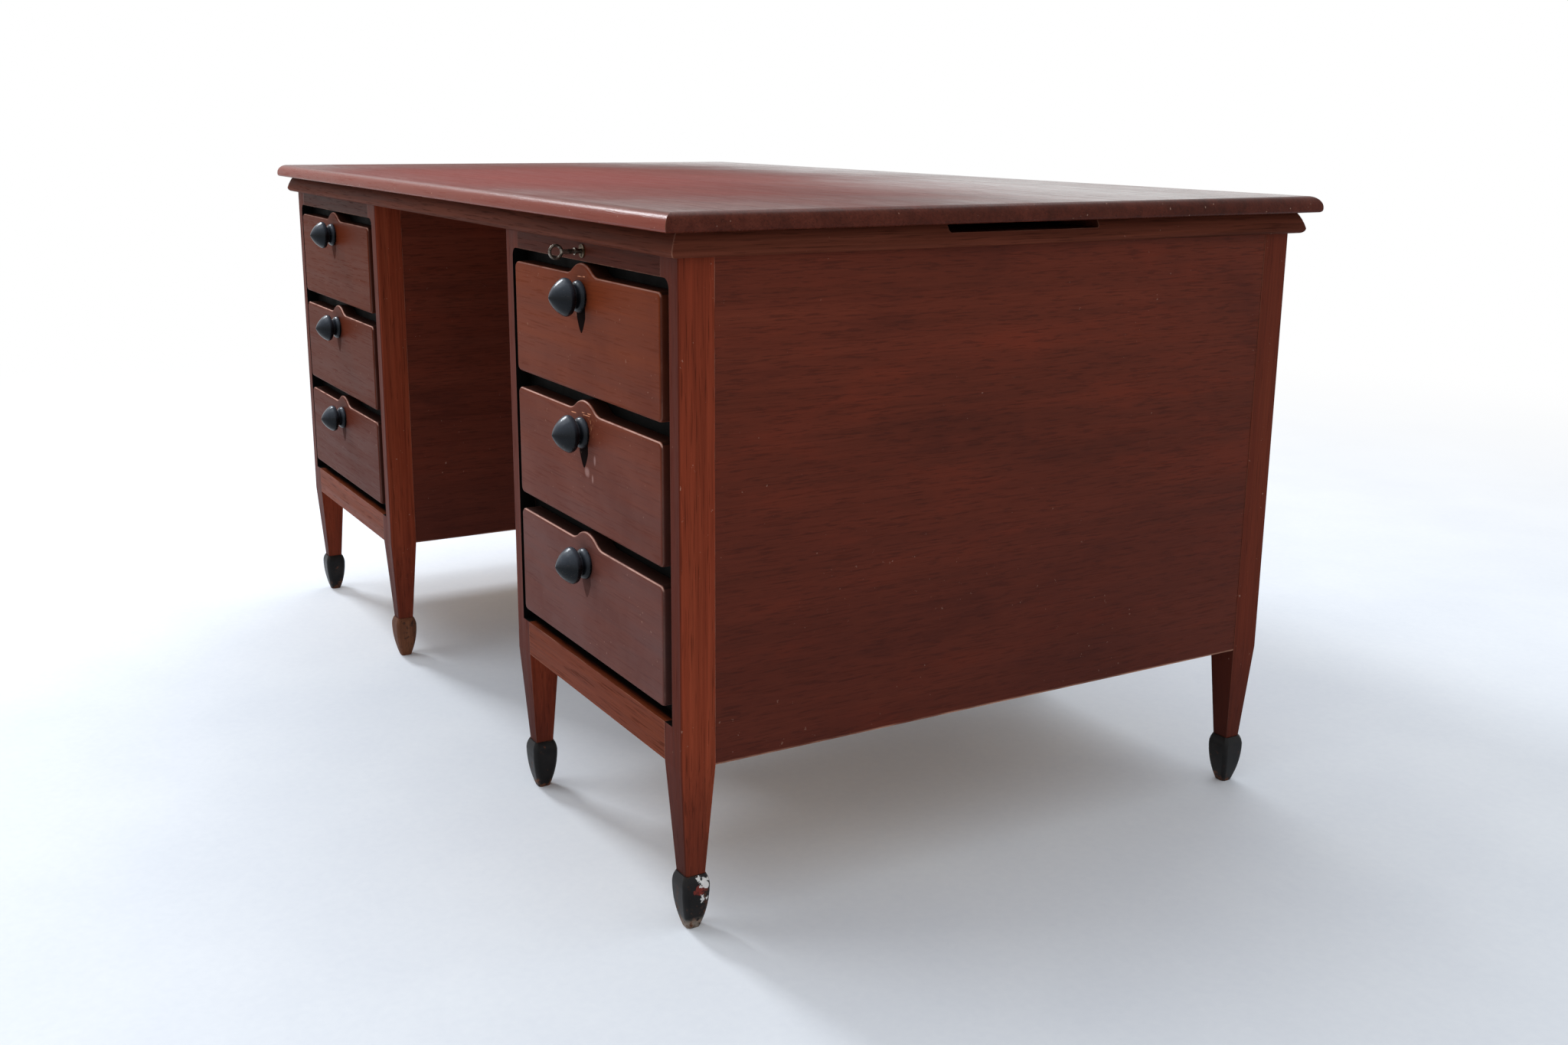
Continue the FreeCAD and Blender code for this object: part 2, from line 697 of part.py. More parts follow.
def pedestal(side):
    """One pedestal with its legs, panels, rails, drawer frame, runners and drawers."""
    left_x = "-carcass_width / 2" if side == "left" else "kneehole_width / 2"
    right_x = f"{left_x} + pedestal_width"
    centre_x = f"{left_x} + pedestal_width / 2"
    inner_left = f"{left_x} + post_size"
    inner_right = f"{right_x} - post_size"
    feet = []
    for out in (-1, 1):
        hand = "outer" if out == PEDESTALS[side] else "inner"
        face = left_x if out < 0 else right_x
        axis_x = f"{face} - {out} * post_size / 2"
        ends = (("front", -1, "front_y + post_size / 2"), ("back", 1, "back_y - post_size / 2"))
        for end, out_y, axis_y in ends:
            leg(f"leg_{side}_{end}_{hand}", axis_x, axis_y, out, out_y, end == "front")
            feet.append(foot(f"foot_{side}_{end}_{hand}", axis_x, axis_y))
        low_x, high_x = span(face, out, "panel_setback", "panel_setback + panel_thickness")
        panel = f"side_panel_{side}_{hand}"
        keep(panel, box(panel, (low_x, "front_y + post_size", "carcass_bottom"),
                        (high_x, "back_y - post_size", "carcass_top")))
    keep(f"feet_{side}", group(f"feet_{side}", feet))

    back_face = "back_y - back_setback"
    keep(f"back_panel_{side}", box(f"back_panel_{side}",
                                   (inner_left, f"{back_face} - back_thickness", "carcass_bottom"),
                                   (inner_right, back_face, "carcass_top")))
    wall = "panel_setback + panel_thickness"
    keep(f"pedestal_floor_{side}", box(f"pedestal_floor_{side}",
                                       (f"{left_x} + {wall}", "front_y + post_size", "carcass_bottom"),
                                       (f"{right_x} - ({wall})", "back_y - post_size",
                                        "carcass_bottom + floor_thickness")))
    keep(f"bottom_rail_{side}", box(f"bottom_rail_{side}", (inner_left, "front_y", "carcass_bottom"),
                                    (inner_right, "front_y + post_size", "opening_bottom")))
    top_rail(side, inner_left, inner_right)
    face_frame(f"drawer_frame_{side}", left_x)
    runners(f"drawer_runners_{side}", left_x)
    for count in range(len(LEVELS)):
        drawer(side, count, centre_x)


def keyhole(name, low_y, high_y):
    """Cutters for a keyhole: a round hole for the shank and a slot below it for the bit."""
    half_slot = "(bit_thickness / 2 + keyhole_clearance)"
    return (
        rod(f"{name}_round", "keyhole_radius", ("lock_x", low_y, "key_z"), f"{high_y} - ({low_y})"),
        box(f"{name}_slot", (f"lock_x - {half_slot}", low_y, "key_z - bit_length - keyhole_clearance"),
            (f"lock_x + {half_slot}", high_y, "key_z")),
    )


def top_rail(side, inner_left, inner_right):
    """The rail over the drawers; the right one is mortised from below for the lock."""
    label = f"top_rail_{side}"
    rail = box(f"{label}_bar", (inner_left, "front_y", "opening_top"),
               (inner_right, "front_y + post_size", "carcass_top"))
    if side == "right":
        mortise = box(f"{label}_mortise", ("lock_x - lock_width / 2", "lock_y", "opening_top - overrun"),
                      ("lock_x + lock_width / 2", "lock_y + lock_depth", "opening_top + lock_height"))
        hole = keyhole(f"{label}_keyhole", "front_y - overrun", "lock_y")
        rail = cut(f"{label}_mortised", rail, mortise, *hole)
    keep(label, rail)


# Lock, bolt and key

def lock():
    """A mortise lock: a hollow case flush with the rail's underside, its bolt, key and escutcheon."""
    half = "lock_width / 2"
    case = box("lock_block", (f"lock_x - {half}", "lock_y", "opening_top"),
               (f"lock_x + {half}", "lock_y + lock_depth", "opening_top + lock_height"))
    cavity = box("lock_cavity",
                 (f"lock_x - {half} + lock_wall", "lock_y + lock_wall", "opening_top + lock_wall"),
                 (f"lock_x + {half} - lock_wall", "lock_y + lock_depth - lock_wall",
                  "opening_top + lock_height - lock_wall"))
    half_bolt = "(bolt_width / 2 + bolt_clearance)"
    slot = box("lock_bolt_slot",
               (f"lock_x - {half_bolt}", "bolt_y - bolt_clearance", "opening_top - overrun"),
               (f"lock_x + {half_bolt}", "bolt_y + bolt_thickness + bolt_clearance",
                "opening_top + lock_wall"))
    keep("lock_case", cut("lock_case", case, cavity, slot,
                          *keyhole("lock_keyhole", "lock_y - overrun", "lock_y + lock_wall")))
    keep("lock_bolt", box("lock_bolt", ("lock_x - bolt_width / 2", "bolt_y", "bolt_z"),
                          ("lock_x + bolt_width / 2", "bolt_y + bolt_thickness", "bolt_z + bolt_height")))

    plate_y = "front_y - escutcheon_thickness"
    plate = rod("escutcheon_disc", "escutcheon_radius", ("lock_x", plate_y, "key_z"), "escutcheon_thickness")
    hole = keyhole("escutcheon_keyhole", f"{plate_y} - overrun", "front_y")
    keep("escutcheon", cut("escutcheon", plate, *hole))

    bow = doc.addObject("Part::Torus", "key_bow")
    bow.Placement.Rotation = FreeCAD.Rotation(FreeCAD.Vector(0, 1, 0), 90)
    bind(bow, Radius1="bow_radius", Radius2="bow_wire_radius")
    place(bow, "lock_x", "front_y - key_reach", "key_z")
    shank_y = "front_y - key_reach + bow_radius"
    shank = rod("key_shank", "shank_radius", ("lock_x", shank_y, "key_z"),
                f"bit_y + bit_width - ({shank_y})")
    collar = rod("key_collar", "collar_radius",
                 ("lock_x", "front_y - collar_standoff - collar_length", "key_z"), "collar_length")
    bit = box("key_bit", ("lock_x - bit_thickness / 2", "bit_y", "key_z - bit_length"),
              ("lock_x + bit_thickness / 2", "bit_y + bit_width", "key_z"))
    key = doc.addObject("Part::MultiFuse", "key")
    key.Shapes = [bow, shank, collar, bit]
    keep("key", key)


def desk():
    """All sub-parts of the desk."""
    top_board()
    half_width = "carcass_width / 2"
    moulding("moulding_front", "carcass_width", 180, "0", "front_y")
    moulding("moulding_back", "carcass_width", 0, "0", "back_y")
    moulding("moulding_left", "carcass_depth", 90, f"-{half_width}", "middle_y")
    moulding("moulding_right", "carcass_depth", -90, half_width, "middle_y", slotted=True)
    for side in PEDESTALS:
        pedestal(side)
    back_face = "back_y - back_setback"
    keep("modesty_panel", box("modesty_panel",
                              ("-kneehole_width / 2", f"{back_face} - modesty_thickness",
                               "carcass_top - modesty_height"),
                              ("kneehole_width / 2", back_face, "carcass_top")))
    lock()


def check_and_write():
    """Stops at a failed object or shape, then writes one file for each sub-part."""
    doc.recompute()
    for item in doc.Objects:
        if "Invalid" in item.State or "Error" in item.State:
            raise RuntimeError(f"{item.Label} failed: {item.State}")
    for label, item in parts.items():
        if item.Shape.isNull() or not item.Shape.isValid() or not item.Shape.Solids:
            raise RuntimeError(f"{label} has no valid solid")
    os.makedirs("parts", exist_ok=True)
    for label, item in parts.items():
        item.Shape.exportStep(f"parts/{label}.step")
    print(f"{len(parts)} sub-parts written")


fill_sheets()
desk()
check_and_write()
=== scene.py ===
import math
from functools import partial

import bpy
from mathutils import Matrix, Vector


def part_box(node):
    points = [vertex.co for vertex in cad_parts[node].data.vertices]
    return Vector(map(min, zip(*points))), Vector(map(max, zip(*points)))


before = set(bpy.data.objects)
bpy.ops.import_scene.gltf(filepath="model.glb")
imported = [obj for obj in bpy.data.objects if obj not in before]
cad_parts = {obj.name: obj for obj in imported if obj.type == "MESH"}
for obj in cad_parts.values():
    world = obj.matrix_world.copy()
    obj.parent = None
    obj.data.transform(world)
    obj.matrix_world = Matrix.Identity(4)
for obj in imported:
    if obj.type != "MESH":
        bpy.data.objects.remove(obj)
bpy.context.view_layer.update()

SIDES = ("left", "right")
LEVELS = ("bottom", "middle", "top")

# Places that the materials follow, in metres, all read from the CAD nodes
NEAR_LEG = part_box("leg_right_front_outer")
POST_FRONT = NEAR_LEG[0].y
NEAR_FOOT_X = (NEAR_LEG[0].x + NEAR_LEG[1].x) / 2
NEAR_FOOT_Y = (NEAR_LEG[0].y + NEAR_LEG[1].y) / 2
OPENING_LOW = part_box("bottom_rail_right")[1].z
OPENING_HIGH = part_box("top_rail_right")[0].z
OPENING_MIDDLE = (OPENING_LOW + OPENING_HIGH) / 2
OPENING_REACH = (OPENING_HIGH - OPENING_LOW) / 2
CARCASS_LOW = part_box("bottom_rail_right")[0].z
CARCASS_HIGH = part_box("side_panel_right_outer")[1].z
FRAME_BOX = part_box("drawer_frame_right")
PEDESTAL_X = (FRAME_BOX[0].x + FRAME_BOX[1].x) / 2
OPENING_HALF = (FRAME_BOX[1].x - FRAME_BOX[0].x) / 2
INNER_FOOT_X = 2 * PEDESTAL_X - NEAR_FOOT_X
KNOB_BOXES = [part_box(f"knob_right_{level}") for level in LEVELS]
KNOB_Z = [(low.z + high.z) / 2 for low, high in KNOB_BOXES]
KNOB_PITCH = KNOB_Z[1] - KNOB_Z[0]
BOX_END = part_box("drawer_box_right_top")[1].y


def rgb(red, green, blue):
    """A colour given as it looks on a screen, 0 to 255, in the renderer's own numbers."""
    def linear(part):
        part /= 255
        return part / 12.92 if part <= 0.04045 else ((part + 0.055) / 1.055) ** 2.4
    return (linear(red), linear(green), linear(blue), 1.0)


class Graph:
    """The node tree of one material."""

    def __init__(self, name):
        self.material = bpy.data.materials.new(name)
        self.material.use_nodes = True
        self.tree = self.material.node_tree
        self.tree.nodes.clear()
        self.shader = self.add("ShaderNodeBsdfPrincipled")
        self.output = self.add("ShaderNodeOutputMaterial")
        self.feed(self.output.inputs["Surface"], self.shader.outputs["BSDF"])
        self.place = self.add("ShaderNodeTexCoord").outputs["Object"]
        self.parts = {}

    def add(self, kind, **settings):
        node = self.tree.nodes.new(kind)
        for name, value in settings.items():
            setattr(node, name, value)
        return node

    def feed(self, socket, value):
        """Links a socket to another one, or sets it to a plain value."""
        if isinstance(value, bpy.types.NodeSocket):
            self.tree.links.new(value, socket)
        else:
            socket.default_value = value

    def math(self, operation, one, other=0.0, clamp=False):
        node = self.add("ShaderNodeMath", operation=operation, use_clamp=clamp)
        self.feed(node.inputs[0], one)
        self.feed(node.inputs[1], other)
        return node.outputs[0]

    def vector(self, operation, one, other):
        node = self.add("ShaderNodeVectorMath", operation=operation)
        self.feed(node.inputs[0], one)
        self.feed(node.inputs[1], other)
        return node.outputs["Value" if operation in ("DOT_PRODUCT", "LENGTH") else "Vector"]

    def axis(self, name):
        """One coordinate of the object's own place."""
        if not self.parts:
            split = self.add("ShaderNodeSeparateXYZ")
            self.feed(split.inputs[0], self.place)
            self.parts = {key: split.outputs[key.upper()] for key in "xyz"}
        return self.parts[name]

    def normal(self, name):
        """One coordinate of the object's own normal, which turns with the object."""
        split = self.add("ShaderNodeSeparateXYZ")
        self.feed(split.inputs[0], self.add("ShaderNodeTexCoord").outputs["Normal"])
        return split.outputs[name.upper()]

    def noise(self, vector, scale=1.0, detail=2.0, roughness=0.5):
        node = self.add("ShaderNodeTexNoise")
        self.feed(node.inputs["Vector"], vector)
        for name, value in (("Scale", scale), ("Detail", detail), ("Roughness", roughness)):
            self.feed(node.inputs[name], value)
        return node.outputs["Fac"]

    def step(self, value, low, high, start=0.0, end=1.0):
        """A smooth step from start to end as the value goes from low to high."""
        node = self.add("ShaderNodeMapRange", interpolation_type="SMOOTHSTEP")
        for name, number in (("Value", value), ("From Min", low), ("From Max", high),
                             ("To Min", start), ("To Max", end)):
            self.feed(node.inputs[name], number)
        return node.outputs["Result"]

    def near(self, value, middle, reach, soft):
        """One where a value is within reach of a middle, falling to zero over a soft rim."""
        gap = self.math("ABSOLUTE", self.math("SUBTRACT", value, middle))
        return self.step(gap, reach, reach + soft, 1.0, 0.0)

    def offset(self, value, middle, size):
        """How many sizes a value lies from a middle."""
        return self.math("DIVIDE", self.math("SUBTRACT", value, middle), size)

    def away(self, x, y, z):
        """Length of the way given by three numbers."""
        return self.vector("LENGTH", self.join(x, y, z), (0, 0, 0))

    def every(self, *masks):
        """Where all masks hold; a plain number weakens them."""
        total = masks[0]
        for mask in masks[1:]:
            total = self.math("MULTIPLY", total, mask)
        return total

    def mix(self, factor, one, other, blend="MIX"):
        """A colour between two others."""
        node = self.add("ShaderNodeMix", data_type="RGBA", blend_type=blend)
        self.feed(node.inputs[0], factor)
        self.feed(node.inputs[6], one)
        self.feed(node.inputs[7], other)
        return node.outputs[2]

    def blend(self, factor, one, other):
        """A number between two others."""
        node = self.add("ShaderNodeMix", data_type="FLOAT")
        self.feed(node.inputs[0], factor)
        self.feed(node.inputs[2], one)
        self.feed(node.inputs[3], other)
        return node.outputs[0]

    def ramp(self, value, *stops):
        node = self.add("ShaderNodeValToRGB")
        elements = node.color_ramp.elements
        while len(elements) < len(stops):
            elements.new(1.0)
        for element, (position, colour) in zip(elements, stops):
            element.position = position
            element.color = colour
        self.feed(node.inputs[0], value)
        return node.outputs["Color"]

    def stretched(self, axis, along, across, seed):
        """Place scaled for a texture that is long along one axis."""
        scale = [across] * 3
        scale["xyz".index(axis)] = along
        scaled = self.vector("MULTIPLY", self.place, scale)
        return self.vector("ADD", scaled, (seed, seed * 1.7, seed * 2.3))

    def edges(self, radius):
        """How sharply the surface turns within a radius: zero on flats, up to one on edges."""
        bevel = self.add("ShaderNodeBevel", samples=6)
        bevel.inputs["Radius"].default_value = radius
        face = self.add("ShaderNodeNewGeometry").outputs["Normal"]
        turn = self.vector("DOT_PRODUCT", bevel.outputs["Normal"], face)
        return self.math("SUBTRACT", 1.0, turn, clamp=True)

    def join(self, x, y, z):
        node = self.add("ShaderNodeCombineXYZ")
        for socket, value in zip(node.inputs, (x, y, z)):
            self.feed(socket, value)
        return node.outputs[0]

    def bump(self, height, strength, distance):
        node = self.add("ShaderNodeBump")
        node.inputs["Strength"].default_value = strength
        node.inputs["Distance"].default_value = distance
        self.feed(node.inputs["Height"], height)
        self.feed(self.shader.inputs["Normal"], node.outputs["Normal"])

    def finish(self, colour, roughness, level):
        """Sets the colour, the roughness and the level of the mirrored light."""
        self.feed(self.shader.inputs["Base Color"], colour)
        self.feed(self.shader.inputs["Roughness"], roughness)
        self.shader.inputs["Specular IOR Level"].default_value = level
        return self.material


# Colours of the woods: deep, body and pale
POST_TONES = (rgb(100, 40, 25), rgb(126, 54, 34), rgb(140, 66, 43))
PANEL_TONES = (rgb(84, 37, 24), rgb(98, 43, 29), rgb(108, 50, 34))
FRONT_TONES = (rgb(94, 41, 22), rgb(110, 49, 26), rgb(121, 58, 33))
# The high rails' tones are darkened as painted shade under the moulding's overhang
SHADED_RAIL_TONES = (rgb(50, 19, 11), rgb(68, 27, 16), rgb(80, 35, 22))
TOP_TONES = (rgb(56, 25, 17), rgb(79, 35, 25), rgb(94, 46, 34))
MOULD_TONES = (rgb(60, 29, 20), rgb(91, 46, 33), rgb(108, 59, 44))
BARE_TONES = (rgb(122, 86, 54), rgb(174, 134, 90), rgb(202, 166, 120))
FOOT_TONES = (rgb(60, 34, 22), rgb(104, 62, 40), rgb(132, 88, 62))

# Colours of wear
WEAR = rgb(186, 140, 118)
SCRATCH = rgb(198, 160, 140)
CHIP = rgb(222, 220, 216)

# Reach of the rubbing from an edge, and depth of the relief, in metres
WORN_EDGE = 0.0022
RUBBED_FOOT_EDGE = 0.003
RUBBED_METAL_EDGE = 0.0012
GRAIN_DEPTH = 0.0004
FINE_DEPTH = 0.0002
CHIP_DEPTH = 0.0006


def wood_layers(graph, axis, deep, body, pale, figure=16.0, wander=3.0, seed=0.0, pore=0.35, contrast=1.0):
    """Colour, bump height, streaks and pores of wood whose grain runs along an axis."""
    drift = graph.noise(graph.stretched(axis, 0.7, 5.0, 3.1 + seed), detail=3.0, roughness=0.55)
    flow = graph.noise(graph.stretched(axis, 0.9, 5.5, 11.4 + seed), detail=2.0, roughness=0.5)
    across = [1.0, 0.93, 1.07]
    across["xyz".index(axis)] = 0.0
    lanes = graph.vector("DOT_PRODUCT", graph.place, across)
    rings = graph.math("ADD", graph.math("MULTIPLY", lanes, figure), graph.math("MULTIPLY", flow, wander))
    ring = graph.math("FRACT", rings)
    late = graph.every(graph.step(ring, 0.25, 0.93), graph.step(ring, 0.93, 1.0, 1.0, 0.0))
    fibre = graph.noise(graph.stretched(axis, 6.0, 330.0, 7.7 + seed), detail=4.0, roughness=0.65)
    streak = graph.noise(graph.stretched(axis, 2.2, 62.0, 5.2 + seed), detail=5.0, roughness=0.6)
    pores = graph.step(graph.noise(graph.stretched(axis, 22.0, 620.0, 1.3 + seed), detail=1.5), 0.58, 0.68)
    colour = graph.ramp(graph.blend(0.5, drift, streak), (0.30, deep), (0.50, body), (0.72, pale))
    colour = graph.mix(graph.every(late, 0.34 * contrast), colour, deep)
    shade = graph.step(fibre, 0.25, 0.75, 1 - 0.20 * contrast, 1 + 0.16 * contrast)
    dark = graph.math("SUBTRACT", 1.0, graph.every(pores, pore * contrast))
    tone = graph.math("MULTIPLY", shade, dark)
    colour = graph.mix(1.0, colour, graph.join(tone, tone, tone), "MULTIPLY")
    height = graph.math("SUBTRACT", graph.math("MULTIPLY", fibre, 0.35), pores)
    return colour, height, streak, pores


def worn(graph, colour, amount, tint=WEAR):
    """Rubs the edges of a colour to another one, in patches; also gives where it is rubbed."""
    rub = graph.noise(graph.place, scale=22.0, detail=5.0, roughness=0.65)
    mask = graph.every(graph.step(graph.edges(WORN_EDGE), 0.04, 0.30), graph.step(rub, 0.38, 0.62, 0.12, 1.0))
    return graph.mix(graph.every(mask, amount), colour, tint), mask


def polished(name, axis, tones, rough, level, wear=0.45, marks=None, **grain):
    """Polished wood with worn edges; marks may paint more on it and returns colour and roughness."""
    graph = Graph(name)
    colour, height, streak, pores = wood_layers(graph, axis, *tones, **grain)
    roughness = graph.step(streak, 0.3, 0.7, rough[0], rough[1])
    roughness = graph.math("ADD", roughness, graph.every(pores, 0.12))
    if wear:
        colour, mask = worn(graph, colour, wear)
        roughness = graph.blend(graph.every(mask, 0.5), roughness, 0.6)
    if marks:
        colour, roughness = marks(graph, colour, roughness)
    graph.bump(height, strength=0.16, distance=GRAIN_DEPTH)
    return graph.finish(colour, roughness, level)


def paint_layers(graph):
    """Colour and roughness of old black paint, slightly brown and grey in patches."""
    cloud = graph.noise(graph.place, scale=34.0, detail=6.0, roughness=0.65)
    colour = graph.ramp(cloud, (0.35, rgb(6, 6, 6)), (0.62, rgb(12, 11, 10)), (0.85, rgb(26, 22, 19)))
    return colour, graph.step(cloud, 0.3, 0.8, 0.55, 0.75)


def scuffs(graph, colour, roughness, amount=0.55):
    """Scattered pale nicks, more of them low down."""
    nick = graph.noise(graph.place, scale=150.0, detail=3.0, roughness=0.7)
    patch = graph.noise(graph.place, scale=9.0, detail=3.0)
    low = graph.step(graph.axis("z"), 0.05, 0.55, 0.02, 0.0)
    mask = graph.every(graph.step(graph.math("ADD", nick, low), 0.70, 0.745), graph.step(patch, 0.48, 0.62))
    return graph.mix(graph.every(mask, amount), colour, SCRATCH), graph.blend(mask, roughness, 0.6)


# Drawer fronts

# Hand grime round each knob: distances where it starts to fade and where it ends
GRIME_START, GRIME_END = 0.014, 0.050

# Dark pointed mark under each knob: drop of its tip, height over which it widens, half width, soft rim
MARK_DROP, MARK_TAPER, MARK_HALF, MARK_RIM = 0.041, 0.018, 0.0125, 0.0015
# Its upper end fades out behind the knob between these heights from the knob's middle
MARK_UPPER_END = (-0.006, -0.004)

# Bare scratches on the right drawers: which drawer, place from its knob, half length
SCRATCHES = (
    (1, -0.0265, 0.0190, 0.0055),
    (1, 0.0090, 0.0232, 0.0110),
    (1, 0.0093, 0.0208, 0.0080),
    (2, 0.0030, 0.0220, 0.0090),
)
SCRATCH_SLOPE, SCRATCH_HALF, SCRATCH_RIM, SCRATCH_TAPER = 0.05, 0.0002, 0.0006, 0.002

# Small nicks beside the middle right knob: place from the knob, half width, half height, soft rim
NICKS_X, NICKS_Z, NICKS_WIDE, NICKS_TALL, NICKS_RIM = 0.021, 0.009, 0.005, 0.008, 0.006

# Pale smears under the middle right knob: place from the knob, half width, half height
SMEARS = (
    (0.0299, -0.0268, 0.0030, 0.0065),
    (0.0077, -0.0440, 0.0070, 0.0060),
    (0.0231, -0.0492, 0.0025, 0.0055),
)


def front_polish(graph, colour):
    """Front polish: greyer towards the floor as a painted reflection of the floor, partly dust, cloudy, and
    darker on the left pedestal as painted shade.
    """
    dust = graph.noise(graph.stretched("x", 3.0, 9.0, 14.0), detail=4.0, roughness=0.6)
    # Painted reflection of the pale floor, partly dust: the fronts turn grey towards the floor, in patches
    floor_sheen_and_dust = graph.every(graph.step(graph.axis("z"), OPENING_LOW, OPENING_HIGH, 0.54, 0.0),
                        graph.step(dust, 0.25, 0.75, 0.6, 1.0))
    colour = graph.mix(floor_sheen_and_dust, colour, rgb(92, 83, 86))
    cloud = graph.noise(graph.place, scale=9.0, detail=4.0, roughness=0.55)
    colour = graph.mix(graph.step(cloud, 0.42, 0.70, 0.0, 0.40), colour, rgb(84, 33, 19))
    # Painted shade: the fronts of the left pedestal, which the left lamp lights more, are darkened
    left = graph.step(graph.axis("x"), -0.01, 0.01, 0.68, 0.0)
    return graph.mix(left, colour, rgb(73, 27, 11))


def front_edges(graph, colour):
    """Painted shade on the sides, the upper face darkened almost to black, and in front of it an arris
    lightened by wear and a painted highlight.
    """
    lift = graph.normal("z")
    turn = graph.math("ABSOLUTE", graph.normal("y"))
    # Painted shade on the side faces of the fronts
    side = graph.step(graph.math("ABSOLUTE", graph.normal("x")), 0.35, 0.8, 0.0, 0.6)
    colour = graph.mix(side, colour, rgb(40, 21, 19))
    # The upper face behind the arris is darkened almost to black
    stain = graph.every(graph.step(lift, 0.55, 0.75), graph.step(turn, 0.10, 0.30, 1.0, 0.0))
    colour = graph.mix(graph.every(stain, 0.85), colour, rgb(26, 18, 15))
    # Lighter arris on the upper edges, in patches: partly wear, partly a painted highlight
    arris_highlight_and_wear = graph.every(graph.step(turn, 0.34, 0.48), graph.step(turn, 0.70, 0.82, 1.0, 0.0))
    upper = graph.every(graph.step(lift, 0.2, 0.6, 0.1, 1.0),
                        graph.step(graph.axis("z"), KNOB_Z[1] + 0.05, KNOB_Z[2], 0.8, 0.4))
    rub = graph.noise(graph.place, scale=26.0, detail=6.0, roughness=0.7)
    rubbed = graph.every(arris_highlight_and_wear, upper, graph.step(rub, 0.32, 0.60, 0.25, 1.0))
    return graph.mix(rubbed, colour, rgb(214, 168, 152))


def from_knob(graph):
    """Place across and up from the knob of each drawer."""
    across = graph.math("SUBTRACT", graph.math("ABSOLUTE", graph.axis("x")), PEDESTAL_X)
    level = graph.math("SUBTRACT", graph.axis("z"), KNOB_Z[0] - KNOB_PITCH / 2)
    up = graph.math("SUBTRACT", graph.math("FLOORED_MODULO", level, KNOB_PITCH), KNOB_PITCH / 2)
    return across, up


def pointed_mark(graph, across, up, right):
    """A dark pointed mark that hangs from the foot of each knob, crisp on the two upper right ones."""
    rise = graph.math("DIVIDE", graph.math("ADD", up, MARK_DROP), MARK_TAPER, clamp=True)
    half = graph.math("MULTIPLY", graph.math("POWER", rise, 0.6), MARK_HALF)
    inside = graph.math("SUBTRACT", half, graph.math("ABSOLUTE", across))
    pointed = graph.every(graph.step(inside, 0.0, MARK_RIM), graph.step(up, *MARK_UPPER_END, 1.0, 0.0))
    between = (KNOB_Z[0] + KNOB_Z[1]) / 2
    upper_two = graph.step(graph.axis("z"), between - 0.01, between + 0.01)
    return graph.every(pointed, graph.blend(graph.every(right, upper_two), 0.40, 0.97))


def front_scratches(graph, colour, face):
    """Bare scratches over the knobs, broken along their length."""
    breaks = graph.step(graph.noise(graph.stretched("x", 130.0, 500.0, 4.0), detail=2.0), 0.36, 0.48)
    for drawer, place_x, place_z, length in SCRATCHES:
        along = graph.math("SUBTRACT", graph.axis("x"), PEDESTAL_X + place_x)
        above = graph.math("SUBTRACT", graph.axis("z"), KNOB_Z[drawer] + place_z)
        off = graph.math("SUBTRACT", above, graph.math("MULTIPLY", along, SCRATCH_SLOPE))
        stroke = graph.every(graph.near(along, 0.0, length, SCRATCH_TAPER),
                             graph.near(off, 0.0, SCRATCH_HALF, SCRATCH_RIM), breaks, face)
        colour = graph.mix(graph.every(stroke, 0.9), colour, rgb(236, 160, 122))
    return colour


def middle_drawer_marks(graph, colour, across, up, smear, shown):
    """Small nicks beside the middle right knob and pale smears under it."""
    runs = graph.step(graph.noise(graph.stretched("z", 150.0, 420.0, 9.0), detail=2.0), 0.60, 0.65)
    beside = graph.every(graph.near(across, NICKS_X, NICKS_WIDE, NICKS_RIM),
                         graph.near(up, NICKS_Z, NICKS_TALL, NICKS_RIM))
    colour = graph.mix(graph.every(beside, runs, shown, 0.75), colour, rgb(206, 142, 104))
    for place_x, place_z, wide, tall in SMEARS:
        away = graph.away(graph.offset(across, place_x, wide), 0.0, graph.offset(up, place_z, tall))
        smeared = graph.every(graph.step(graph.math("ADD", away, smear), 0.9, 1.7, 0.6, 0.0), shown)
        colour = graph.mix(smeared, colour, rgb(168, 130, 122))
    return colour


def mark_front(graph, colour, roughness):
    """Drawer fronts: painted floor reflection with dust, painted shade on the sides, arrises worn and painted
    with highlights, grime and dark marks at the knobs, scratches.
    """
    face = graph.step(graph.normal("y"), -0.97, -0.90, 1.0, 0.0)
    right = graph.step(graph.axis("x"), 0.0, 0.01)
    across, up = from_knob(graph)
    colour = front_edges(graph, front_polish(graph, colour))
    # Hand grime round the knobs
    grime = graph.every(graph.step(graph.away(across, 0.0, up), GRIME_START, GRIME_END, 0.28, 0.0), face)
    smear = graph.noise(graph.place, scale=60.0, detail=5.0, roughness=0.6)
    colour = graph.mix(graph.every(grime, graph.step(smear, 0.3, 0.7)), colour, rgb(60, 22, 13))
    mark = graph.every(pointed_mark(graph, across, up, right), face)
    colour = graph.mix(mark, colour, rgb(6, 4, 4))
    colour = front_scratches(graph, colour, face)
    middle = graph.near(graph.axis("z"), KNOB_Z[1], KNOB_PITCH / 2 - 0.004, 0.004)
    colour = middle_drawer_marks(graph, colour, across, up, smear, graph.every(right, middle, face))
    # A few small specks all over
    specks = graph.step(graph.noise(graph.place, scale=210.0, detail=1.0), 0.775, 0.79)
    colour = graph.mix(graph.every(specks, face, 0.2), colour, SCRATCH)
    roughness = graph.blend(grime, roughness, 0.55)
    return colour, graph.blend(mark, roughness, 0.95)


# Carcass and top

# Zones of the top: middle and half sizes, along x and y
DULL_ZONE = ((-0.06, -0.14), (0.90, 0.42))
# The red zone is a painted reflection on the flat of the top
RED_REFLECTION_ZONE = ((-0.02, -0.20), (0.80, 0.50))


